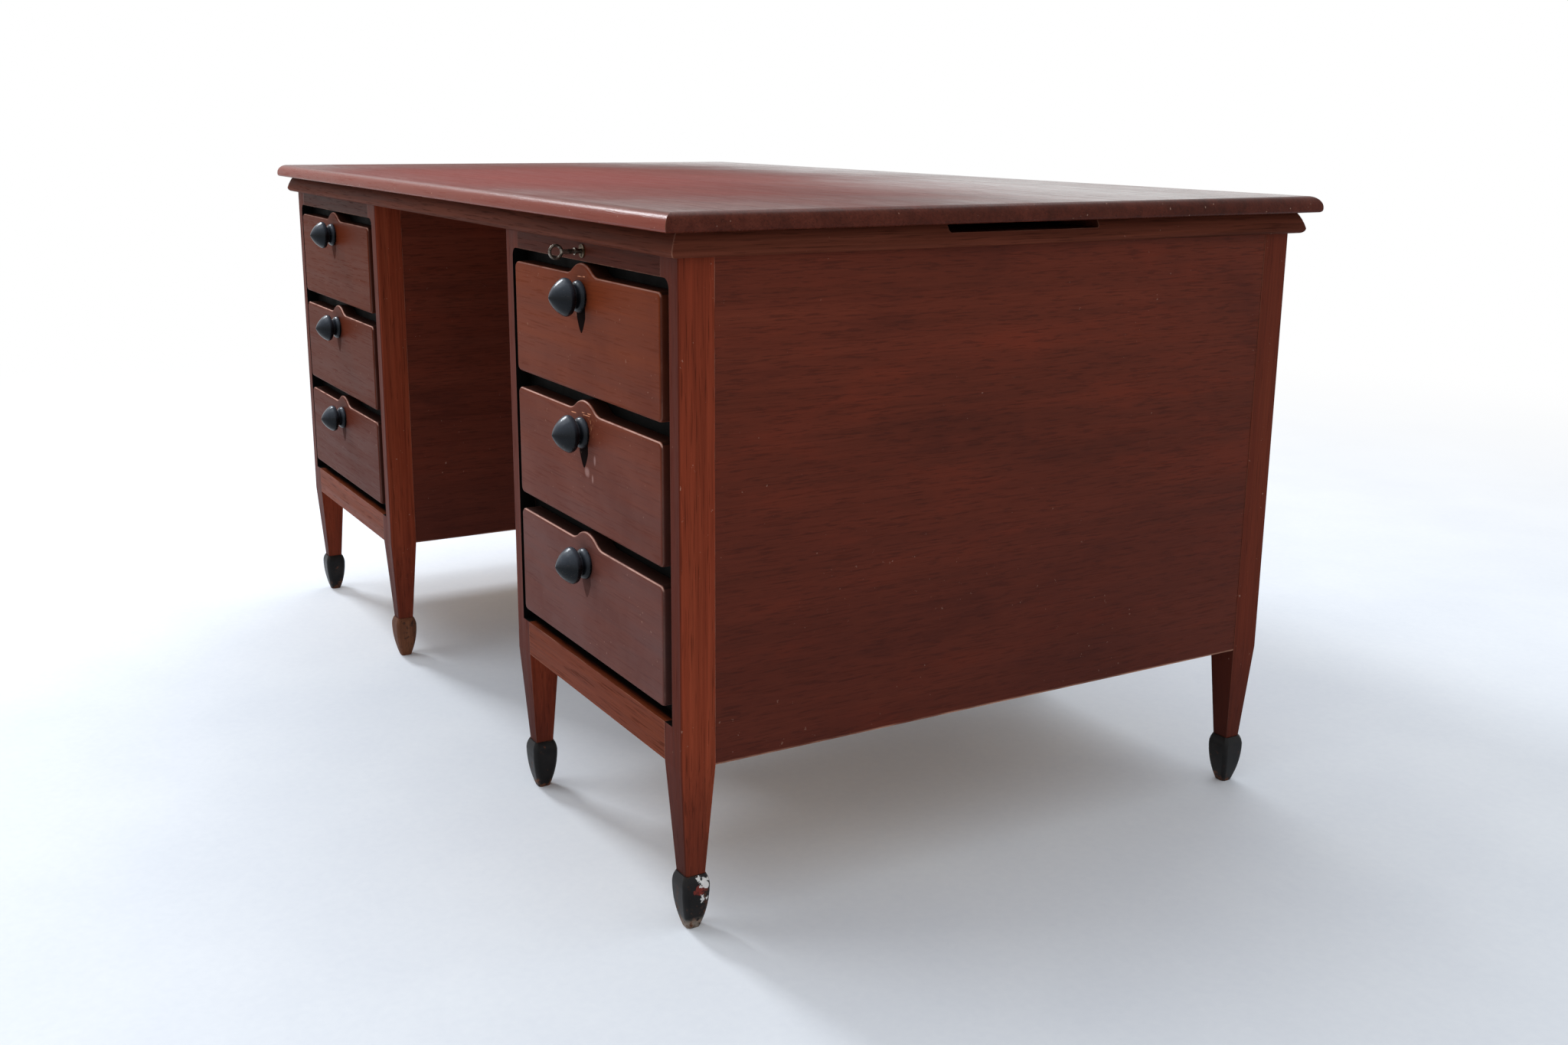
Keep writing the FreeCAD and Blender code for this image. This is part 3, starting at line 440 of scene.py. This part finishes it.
def mark_post(graph, colour, roughness):
    """Posts: black paint in the drawer opening, painted shade on the front faces, darker at the back, painted
    shade low on the legs, nicks.
    """
    x, y, z = (graph.axis(key) for key in "xyz")
    across = graph.math("ABSOLUTE", graph.math("SUBTRACT", graph.math("ABSOLUTE", x), PEDESTAL_X))
    inside = graph.every(graph.step(across, OPENING_HALF + 0.0002, OPENING_HALF + 0.0007, 1.0, 0.0),
                         graph.near(z, OPENING_MIDDLE, OPENING_REACH, 0.0005),
                         graph.step(y, 0.0, 0.01, 1.0, 0.0),
                         graph.step(graph.normal("y"), -0.85, -0.6))
    paint, paint_rough = paint_layers(graph)
    # Painted shade on the posts' front faces
    ahead = graph.step(graph.normal("y"), -0.95, -0.45, 0.68, 0.0)
    colour = graph.mix(ahead, colour, rgb(60, 22, 15))
    colour = graph.mix(graph.step(y, 0.1, 0.2, 0.0, 0.6), colour, rgb(70, 31, 23))
    # Painted shade on the legs towards the feet, in a cloud
    shade_cloud = graph.noise(graph.stretched("z", 9.0, 40.0, 17.0), detail=4.0, roughness=0.6)
    low = graph.every(graph.step(z, 0.05, CARCASS_LOW + 0.06, 0.56, 0.0),
                      graph.step(shade_cloud, 0.2, 0.8, 0.6, 1.0))
    colour = graph.mix(low, colour, rgb(43, 27, 26))
    colour, roughness = scuffs(graph, colour, roughness)
    return graph.mix(inside, colour, paint), graph.blend(inside, roughness, paint_rough)


def mark_rail(graph, colour, roughness):
    """Rails: black paint on the faces in the opening, rubbed to wood at the front edge of the sill."""
    y, z = graph.axis("y"), graph.axis("z")
    turn = graph.normal("z")
    sill = graph.every(graph.step(turn, 0.7, 0.9), graph.near(z, OPENING_LOW, 0.002, 0.001))
    head = graph.every(graph.step(turn, -0.9, -0.7, 1.0, 0.0), graph.near(z, OPENING_HIGH, 0.002, 0.001))
    rub = graph.noise(graph.stretched("x", 6.0, 60.0, 2.0), detail=5.0, roughness=0.65)
    rim = graph.math("ADD", graph.math("SUBTRACT", y, POST_FRONT), graph.math("MULTIPLY", rub, -0.016))
    kept = graph.step(rim, -0.004, 0.004, 0.12, 1.0)
    mask = graph.math("ADD", graph.every(sill, kept), head, clamp=True)
    paint, paint_rough = paint_layers(graph)
    return graph.mix(mask, colour, paint), graph.blend(mask, roughness, paint_rough)


def mark_panel(axis, graph, colour, roughness):
    """Panels: mottled figure, broad darker clouds, darker low down, a pale painted highlight along the lower
    edge, in patches.
    """
    z = graph.axis("z")
    mottle = graph.noise(graph.stretched(axis, 4.5, 17.0, 30.0), detail=5.0, roughness=0.62)
    colour = graph.mix(graph.step(mottle, 0.50, 0.70, 0.0, 0.42), colour, rgb(118, 47, 29))
    colour = graph.mix(graph.step(mottle, 0.30, 0.46, 0.38, 0.0), colour, rgb(58, 26, 20))
    dashes = graph.noise(graph.stretched(axis, 34.0, 420.0, 12.0), detail=3.0, roughness=0.6)
    colour = graph.mix(graph.step(dashes, 0.52, 0.66, 0.0, 0.40), colour, rgb(50, 22, 16))
    cloud = graph.noise(graph.place, scale=3.4, detail=4.0, roughness=0.55)
    colour = graph.mix(graph.step(cloud, 0.44, 0.72, 0.0, 0.28), colour, rgb(52, 24, 19))
    colour = graph.mix(graph.step(z, CARCASS_LOW, CARCASS_HIGH, 0.40, 0.0), colour, rgb(54, 26, 23))
    # Painted highlight: a pale line along the lower edge, broken in patches
    lower_edge_highlight = graph.step(z, CARCASS_LOW + 0.0005, CARCASS_LOW + 0.0025, 1.0, 0.0)
    rub = graph.step(graph.noise(graph.stretched(axis, 14.0, 80.0, 8.0), detail=4.0), 0.35, 0.6, 0.2, 1.0)
    colour = graph.mix(graph.every(lower_edge_highlight, rub, 0.7), colour, WEAR)
    return scuffs(graph, colour, roughness, amount=0.3)


def zone_reach(graph, zone, cloud, ragged):
    """Distance from the middle of a zone of the top, about one at its half sizes, ragged by a cloud."""
    (middle_x, middle_y), (half_x, half_y) = zone
    reach = graph.away(graph.offset(graph.axis("x"), middle_x, half_x),
                       graph.offset(graph.axis("y"), middle_y, half_y), 0.0)
    return graph.math("ADD", reach, graph.step(cloud, 0.3, 0.7, -ragged, ragged))


def mark_top(graph, colour, roughness):
    """Top: duller where the sitter works, a red painted reflection, a less polished front edge painted
    brighter and redder, partly a painted highlight, wiping marks, pale specks.
    """
    cloud = graph.noise(graph.place, scale=3.0, detail=4.0, roughness=0.55)
    level = graph.step(graph.normal("z"), 0.8, 0.97)
    clear = graph.every(graph.step(graph.axis("x"), -0.3, 0.5), graph.step(graph.axis("y"), -0.15, 0.3))
    dull = graph.every(graph.step(zone_reach(graph, DULL_ZONE, cloud, 0.12), 0.45, 1.4, 1.0, 0.0), level,
                       graph.math("SUBTRACT", 1.0, clear))
    roughness = graph.math("ADD", roughness, graph.every(dull, 0.46))
    # Painted reflection: a red zone on the flat of the top
    red = graph.step(zone_reach(graph, RED_REFLECTION_ZONE, cloud, 0.10), 0.1, 1.25, 0.60, 0.0)
    colour = graph.mix(graph.every(red, level), colour, rgb(130, 43, 35))
    # The front edge is painted brighter and redder: the wood's warm tone, partly a painted highlight
    colour = graph.mix(graph.step(graph.normal("y"), -0.8, -0.2, 0.65, 0.0), colour, rgb(142, 62, 45))
    wipe = graph.noise(graph.stretched("x", 8.0, 90.0, 21.0), detail=4.0, roughness=0.6)
    roughness = graph.math("ADD", roughness, graph.step(wipe, 0.35, 0.7, -0.01, 0.03))
    # The rounded edge is less polished than the flat
    edge = graph.math("SUBTRACT", 0.14, graph.every(level, 0.14))
    roughness = graph.math("ADD", roughness, edge)
    specks = graph.step(graph.noise(graph.place, scale=240.0, detail=1.0), 0.755, 0.775)
    return graph.mix(graph.every(specks, 0.4), colour, SCRATCH), roughness


# Inner wood, knobs, feet, paint and metal

BARE_GRAIN = {"figure": 22.0, "wander": 4.0, "pore": 0.3}
BOX_BACK_THICKNESS = 0.012

# The front feet lie before this y; a foot lies within this reach of its middle, with a soft rim
FRONT_FEET_END = -0.3
FOOT_REACH, FOOT_RIM = 0.03, 0.01

# Chips on the outer face of the near right foot: place behind its middle, height, radius and colour
FOOT_BLOTS = (
    (0.0040, 0.0475, 0.0050, rgb(120, 44, 34)),
    (0.0085, 0.0560, 0.0045, CHIP),
    (0.0025, 0.0600, 0.0022, CHIP),
    (0.0070, 0.0370, 0.0022, CHIP),
)
BLOT_RAGGED, BLOT_RIM = 0.005, 0.0012


def bare_wood(name, axis, seed):
    """Bare, dry wood inside the desk."""
    graph = Graph(name)
    colour, height, streak, _ = wood_layers(graph, axis, *BARE_TONES, seed=seed, **BARE_GRAIN)
    dust = graph.noise(graph.place, scale=12.0, detail=5.0, roughness=0.6)
    colour = graph.mix(graph.step(dust, 0.45, 0.75, 0.0, 0.35), colour, rgb(110, 84, 62))
    graph.bump(height, strength=0.3, distance=GRAIN_DEPTH)
    return graph.finish(colour, graph.step(streak, 0.3, 0.7, 0.6, 0.8), level=0.3)


def box_wood():
    """Drawer boxes: sides with grain along the desk's depth, backs with grain across."""
    graph = Graph("drawer_box_wood")
    sides = wood_layers(graph, "y", *BARE_TONES, seed=2.0, **BARE_GRAIN)
    backs = wood_layers(graph, "x", *BARE_TONES, seed=5.0, **BARE_GRAIN)
    back_start = BOX_END - BOX_BACK_THICKNESS
    back = graph.step(graph.axis("y"), back_start - 0.0005, back_start + 0.0001)
    colour = graph.mix(back, sides[0], backs[0])
    stain = graph.noise(graph.place, scale=10.0, detail=5.0, roughness=0.6)
    colour = graph.mix(graph.step(stain, 0.45, 0.75, 0.0, 0.4), colour, rgb(112, 82, 58))
    graph.bump(graph.blend(back, sides[1], backs[1]), strength=0.3, distance=GRAIN_DEPTH)
    return graph.finish(colour, graph.step(sides[2], 0.3, 0.7, 0.58, 0.78), level=0.3)


def ebonised():
    """Black-stained turned wood under a worn polish, with a painted grey-blue sheen on the upper side."""
    graph = Graph("ebonised_knobs")
    cloud = graph.noise(graph.place, scale=70.0, detail=6.0, roughness=0.65)
    colour = graph.ramp(cloud, (0.3, rgb(9, 10, 12)), (0.6, rgb(15, 16, 19)), (0.85, rgb(28, 26, 26)))
    fibre = graph.noise(graph.stretched("y", 40.0, 600.0, 3.0), detail=3.0)
    specks = graph.step(graph.noise(graph.place, scale=420.0, detail=1.0), 0.745, 0.77)
    colour = graph.mix(graph.every(specks, 0.3), colour, rgb(120, 104, 94))
    # Painted sheen: upward faces lightened to a blue grey, in patches
    painted_sheen = graph.every(graph.step(graph.normal("z"), -0.05, 0.85, 0.0, 0.6),
                        graph.step(cloud, 0.2, 0.7, 0.7, 1.0))
    colour = graph.mix(painted_sheen, colour, rgb(88, 95, 106))
    graph.bump(fibre, strength=0.03, distance=FINE_DEPTH)
    graph.shader.inputs["Specular Tint"].default_value = (0.86, 0.93, 1.0, 1.0)
    return graph.finish(colour, graph.step(cloud, 0.3, 0.8, 0.24, 0.31), level=0.17)


def foot_chips(graph, colour, near_right):
    """Chips on the outer face of the near right foot, and pale dust at its lower end."""
    y, z = graph.axis("y"), graph.axis("z")
    ragged = graph.noise(graph.place, scale=150.0, detail=5.0, roughness=0.7)
    ragged = graph.step(ragged, 0.3, 0.7, -BLOT_RAGGED, BLOT_RAGGED)
    outer = graph.every(near_right, graph.step(graph.normal("x"), 0.2, 0.5))
    for place_y, place_z, radius, tint in FOOT_BLOTS:
        away = graph.away(0.0, graph.math("SUBTRACT", y, NEAR_FOOT_Y + place_y),
                          graph.math("SUBTRACT", z, place_z))
        away = graph.math("ADD", away, ragged)
        blot = graph.every(outer, graph.step(away, radius, radius + BLOT_RIM, 0.9, 0.0))
        colour = graph.mix(blot, colour, tint)
    crumbs = graph.step(graph.noise(graph.place, scale=140.0, detail=5.0, roughness=0.7), 0.38, 0.52)
    dust = graph.every(near_right, graph.step(z, 0.006, 0.016, 0.8, 0.0), crumbs)
    return graph.mix(dust, colour, rgb(136, 124, 112))


def foot_wood():
    """Black spade feet: chipped and rubbed low down, one rubbed brown, one with pale chips."""
    graph = Graph("ebonised_feet")
    x, y, z = (graph.axis(key) for key in "xyz")
    cloud = graph.noise(graph.place, scale=60.0, detail=6.0, roughness=0.65)
    colour = graph.ramp(cloud, (0.3, rgb(14, 14, 15)), (0.6, rgb(26, 24, 24)), (0.85, rgb(48, 38, 33)))
    bare = wood_layers(graph, "z", *FOOT_TONES, seed=8.0)[0]
    rub = graph.noise(graph.place, scale=85.0, detail=6.0, roughness=0.7)
    low = graph.step(z, 0.004, 0.022, 0.16, 0.0)
    edge = graph.step(graph.edges(RUBBED_FOOT_EDGE), 0.05, 0.4, 0.0, 0.10)
    ahead = graph.step(y, FRONT_FEET_END, FRONT_FEET_END + 0.01, 1.0, 0.0)
    inner_left = graph.every(graph.near(x, -INNER_FOOT_X, FOOT_REACH, FOOT_RIM), ahead)
    near_right = graph.every(graph.near(x, NEAR_FOOT_X, FOOT_REACH, FOOT_RIM), ahead)
    amount = rub
    for more in (low, edge, graph.every(inner_left, 0.27), graph.every(near_right, 0.05)):
        amount = graph.math("ADD", amount, more)
    mask = graph.step(amount, 0.60, 0.72)
    colour = foot_chips(graph, graph.mix(mask, colour, bare), near_right)
    graph.bump(graph.math("SUBTRACT", cloud, mask), strength=0.2, distance=CHIP_DEPTH)
    return graph.finish(colour, graph.blend(mask, graph.step(cloud, 0.3, 0.8, 0.34, 0.5), 0.62), level=0.16)


def black_paint():
    """Brushed black paint, rubbed to brown on its edges."""
    graph = Graph("black_paint")
    colour, roughness = paint_layers(graph)
    colour, _ = worn(graph, colour, 0.5, tint=rgb(92, 56, 42))
    brush = graph.noise(graph.stretched("x", 12.0, 260.0, 2.0), detail=3.0)
    graph.bump(brush, strength=0.12, distance=GRAIN_DEPTH)
    return graph.finish(colour, roughness, level=0.04)


def metal(name, clean, tarnish, rough, seed):
    """Old metal: polished where it is touched, tarnished elsewhere."""
    graph = Graph(name)
    shifted = graph.vector("ADD", graph.place, (seed, seed, seed))
    cloud = graph.noise(shifted, scale=160.0, detail=6.0, roughness=0.7)
    rubbed = graph.step(graph.edges(RUBBED_METAL_EDGE), 0.05, 0.4, 0.0, 0.25)
    mask = graph.step(graph.math("ADD", cloud, rubbed), 0.38, 0.66)
    colour = graph.mix(mask, tarnish, clean)
    graph.shader.inputs["Metallic"].default_value = 1.0
    graph.bump(cloud, strength=0.12, distance=FINE_DEPTH)
    return graph.finish(colour, graph.blend(mask, rough[1], rough[0]), level=0.5)


# Which node wears which material

def dress(node, material):
    """Gives a CAD node one material in all its slots."""
    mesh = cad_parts[node].data
    mesh.materials.clear()
    mesh.materials.append(material)


def dress_top():
    """Top board and the moulded frame under it."""
    top = polished("top_wood", "x", TOP_TONES, rough=(0.11, 0.16), level=0.06, wear=0.3, marks=mark_top,
                   figure=11.0, wander=4.0)
    mould_look = {"rough": (0.44, 0.56), "level": 0.015, "marks": scuffs}
    mould_x = polished("moulding_wood_long", "x", MOULD_TONES, seed=2.0, **mould_look)
    mould_y = polished("moulding_wood_deep", "y", MOULD_TONES, seed=4.0, **mould_look)
    dress("top_board", top)
    for end, material in (("front", mould_x), ("back", mould_x), ("left", mould_y), ("right", mould_y)):
        dress(f"moulding_{end}", material)


def dress_carcass():
    """Posts, panels, rails, feet and the black frames behind the drawers."""
    post = polished("post_wood", "z", POST_TONES, rough=(0.36, 0.50), level=0.03, seed=1.0,
                    marks=mark_post, figure=34.0, wander=2.0)
    low_rail = polished("low_rail_wood", "x", FRONT_TONES, rough=(0.36, 0.48), level=0.03, seed=6.0,
                        wear=0.6, marks=mark_rail)
    # Painted shade: the high rails wear a darker copy of the rail wood
    shaded_high_rail = polished("high_rail_wood", "x", SHADED_RAIL_TONES, rough=(0.36, 0.48), level=0.02, seed=7.0,
                         wear=0.5, marks=mark_rail)
    panel_look = {"rough": (0.42, 0.56), "level": 0.06, "wear": 0.25,
                  "figure": 9.0, "wander": 5.0, "contrast": 0.45}
    panel_y = polished("panel_wood_side", "y", PANEL_TONES, marks=partial(mark_panel, "y"), **panel_look)
    panel_x = polished("panel_wood_back", "x", PANEL_TONES, seed=3.0, marks=partial(mark_panel, "x"),
                       **panel_look)
    feet = foot_wood()
    paint = black_paint()
    for side in SIDES:
        for hand in ("outer", "inner"):
            dress(f"side_panel_{side}_{hand}", panel_y)
            for end in ("front", "back"):
                dress(f"leg_{side}_{end}_{hand}", post)
        dress(f"back_panel_{side}", panel_x)
        dress(f"feet_{side}", feet)
        dress(f"top_rail_{side}", shaded_high_rail)
        dress(f"bottom_rail_{side}", low_rail)
        dress(f"drawer_frame_{side}", paint)
    dress("modesty_panel", panel_x)


def dress_drawers():
    """Drawers with their knobs, and the bare wood inside the pedestals."""
    front = polished("front_wood", "x", FRONT_TONES, rough=(0.36, 0.46), level=0.02, wear=0.0,
                     marks=mark_front, figure=12.0, wander=4.0, seed=9.0, contrast=0.3)
    bare_y = bare_wood("bare_wood_deep", "y", seed=1.0)
    bare_x = bare_wood("bare_wood_wide", "x", seed=4.0)
    boxes = box_wood()
    knobs = ebonised()
    for side in SIDES:
        dress(f"pedestal_floor_{side}", bare_y)
        dress(f"drawer_runners_{side}", bare_y)
        for level in LEVELS:
            name = f"{side}_{level}"
            dress(f"drawer_front_{name}", front)
            dress(f"drawer_box_{name}", boxes)
            dress(f"drawer_bottom_{name}", bare_x)
            dress(f"knob_{name}", knobs)


def dress_lock():
    """Brass escutcheon; steel key, lock case and bolt."""
    brass = metal("aged_brass", rgb(112, 92, 64), rgb(52, 40, 30), rough=(0.40, 0.6), seed=0.0)
    steel = metal("worn_steel", rgb(150, 142, 132), rgb(58, 50, 44), rough=(0.26, 0.5), seed=3.0)
    dress("escutcheon", brass)
    for node in ("key", "lock_case", "lock_bolt"):
        dress(node, steel)


# Stage, light and camera

PHOTO_WIDTH, PHOTO_HEIGHT = 2048, 1365
CAMERA_PLACE = Vector((2.1219, -1.1032, 0.8576))
CAMERA_YAW, CAMERA_PITCH, CAMERA_ROLL = (math.radians(angle) for angle in (59.489, 13.2865, 0.4896))
FOCAL_PIXELS = 2058.0
AXIS_ROW = 640.0
SENSOR = 36.0
CLIP_START = 0.05

WHITE = (1, 1, 1, 1)
FLOOR_HALF = 40.0
# The floor turns to white between these distances from a place under the near pedestal
FADE_PLACE = (0.6, -0.3, 0.0)
FADE_START, FADE_END = 1.0, 4.5

SURROUND_COLOUR, SURROUND_STRENGTH = (0.96, 0.98, 1.0, 1.0), 0.75
LAMP_COLOUR = (0.92, 0.96, 1.0)
# Square lamps: name, place, what they point at, width in metres, watts
LAMPS = (
    ("overhead", (-0.9, 1.0, 3.6), (0.0, 0.0, 0.4), 2.6, 40.0),
    ("front_above", (-0.8, -2.0, 3.4), (0.2, -0.3, 0.4), 1.6, 24.0),
    ("left", (-3.2, -1.1, 3.0), (0.1, -0.4, 0.5), 0.8, 90.0),
)


def place_camera():
    """The photograph's camera, as fitted to the desk's edges."""
    forward = Vector((-math.sin(CAMERA_YAW) * math.cos(CAMERA_PITCH),
                      math.cos(CAMERA_YAW) * math.cos(CAMERA_PITCH), -math.sin(CAMERA_PITCH)))
    level = Vector((math.cos(CAMERA_YAW), math.sin(CAMERA_YAW), 0))
    plumb = level.cross(forward)
    right = level * math.cos(CAMERA_ROLL) + plumb * math.sin(CAMERA_ROLL)
    up = plumb * math.cos(CAMERA_ROLL) - level * math.sin(CAMERA_ROLL)
    data = bpy.data.cameras.new("camera")
    data.sensor_fit = "HORIZONTAL"
    data.sensor_width = SENSOR
    data.lens = SENSOR * FOCAL_PIXELS / PHOTO_WIDTH
    data.shift_y = (AXIS_ROW - PHOTO_HEIGHT / 2) / PHOTO_WIDTH
    data.clip_start = CLIP_START
    camera = bpy.data.objects.new("camera", data)
    turn = Matrix((right, up, -forward)).transposed().to_4x4()
    camera.matrix_world = Matrix.Translation(CAMERA_PLACE) @ turn
    bpy.context.scene.collection.objects.link(camera)
    bpy.context.scene.camera = camera


def floor_material():
    """Pale ground that fades to white in the distance where it is seen or mirrored."""
    graph = Graph("pale_floor")
    cloud = graph.noise(graph.place, scale=2.2, detail=6.0, roughness=0.6)
    grit = graph.noise(graph.place, scale=90.0, detail=3.0, roughness=0.6)
    colour = graph.ramp(graph.blend(0.25, cloud, grit), (0.3, rgb(224, 229, 237)), (0.7, rgb(236, 240, 245)))
    graph.finish(colour, 0.85, level=0.1)
    away = graph.vector("LENGTH", graph.vector("SUBTRACT", graph.place, FADE_PLACE), (0, 0, 0))
    rays = graph.add("ShaderNodeLightPath").outputs
    seen = graph.math("MAXIMUM", rays["Is Camera Ray"], rays["Is Glossy Ray"])
    seen = graph.math("MAXIMUM", seen, rays["Is Transmission Ray"])
    white = graph.add("ShaderNodeEmission")
    white.inputs["Color"].default_value = WHITE
    mixed = graph.add("ShaderNodeMixShader")
    graph.feed(mixed.inputs[0], graph.every(graph.step(away, FADE_START, FADE_END), seen))
    graph.feed(mixed.inputs[1], graph.shader.outputs["BSDF"])
    graph.feed(mixed.inputs[2], white.outputs[0])
    graph.feed(graph.output.inputs["Surface"], mixed.outputs[0])
    return graph.material


def lay_floor():
    """A wide pale floor."""
    corners = [(across * FLOOR_HALF, along * FLOOR_HALF, 0)
               for across, along in ((-1, -1), (1, -1), (1, 1), (-1, 1))]
    mesh = bpy.data.meshes.new("floor")
    mesh.from_pydata(corners, [], [(0, 1, 2, 3)])
    mesh.materials.append(floor_material())
    floor = bpy.data.objects.new("floor", mesh)
    bpy.context.scene.collection.objects.link(floor)


def surround_desk():
    """An even pale surround: white where it is seen or mirrored, dimmer as light on the desk."""
    world = bpy.data.worlds.new("studio")
    bpy.context.scene.world = world
    world.use_nodes = True
    tree = world.node_tree
    tree.nodes.clear()
    dim, white = (tree.nodes.new("ShaderNodeBackground") for _ in range(2))
    dim.inputs["Color"].default_value = SURROUND_COLOUR
    dim.inputs["Strength"].default_value = SURROUND_STRENGTH
    white.inputs["Color"].default_value = WHITE
    white.inputs["Strength"].default_value = 1.0
    rays = tree.nodes.new("ShaderNodeLightPath")
    first, second = (tree.nodes.new("ShaderNodeMath") for _ in range(2))
    first.operation = second.operation = "MAXIMUM"
    tree.links.new(rays.outputs["Is Camera Ray"], first.inputs[0])
    tree.links.new(rays.outputs["Is Glossy Ray"], first.inputs[1])
    tree.links.new(first.outputs[0], second.inputs[0])
    tree.links.new(rays.outputs["Is Transmission Ray"], second.inputs[1])
    mixed = tree.nodes.new("ShaderNodeMixShader")
    tree.links.new(second.outputs[0], mixed.inputs[0])
    tree.links.new(dim.outputs[0], mixed.inputs[1])
    tree.links.new(white.outputs[0], mixed.inputs[2])
    output = tree.nodes.new("ShaderNodeOutputWorld")
    tree.links.new(mixed.outputs[0], output.inputs["Surface"])


def hang_lamps():
    """Slightly cool lamps overhead, above the front and at the left."""
    for name, place, target, size, power in LAMPS:
        data = bpy.data.lights.new(name, "AREA")
        data.shape = "SQUARE"
        data.size = size
        data.energy = power
        data.color = LAMP_COLOUR
        lamp = bpy.data.objects.new(name, data)
        lamp.location = place
        lamp.rotation_euler = (Vector(target) - Vector(place)).to_track_quat("-Z", "Y").to_euler()
        bpy.context.scene.collection.objects.link(lamp)


dress_top()
dress_carcass()
dress_drawers()
dress_lock()
lay_floor()
surround_desk()
hang_lamps()
bpy.context.scene.view_settings.view_transform = "Standard"
place_camera()
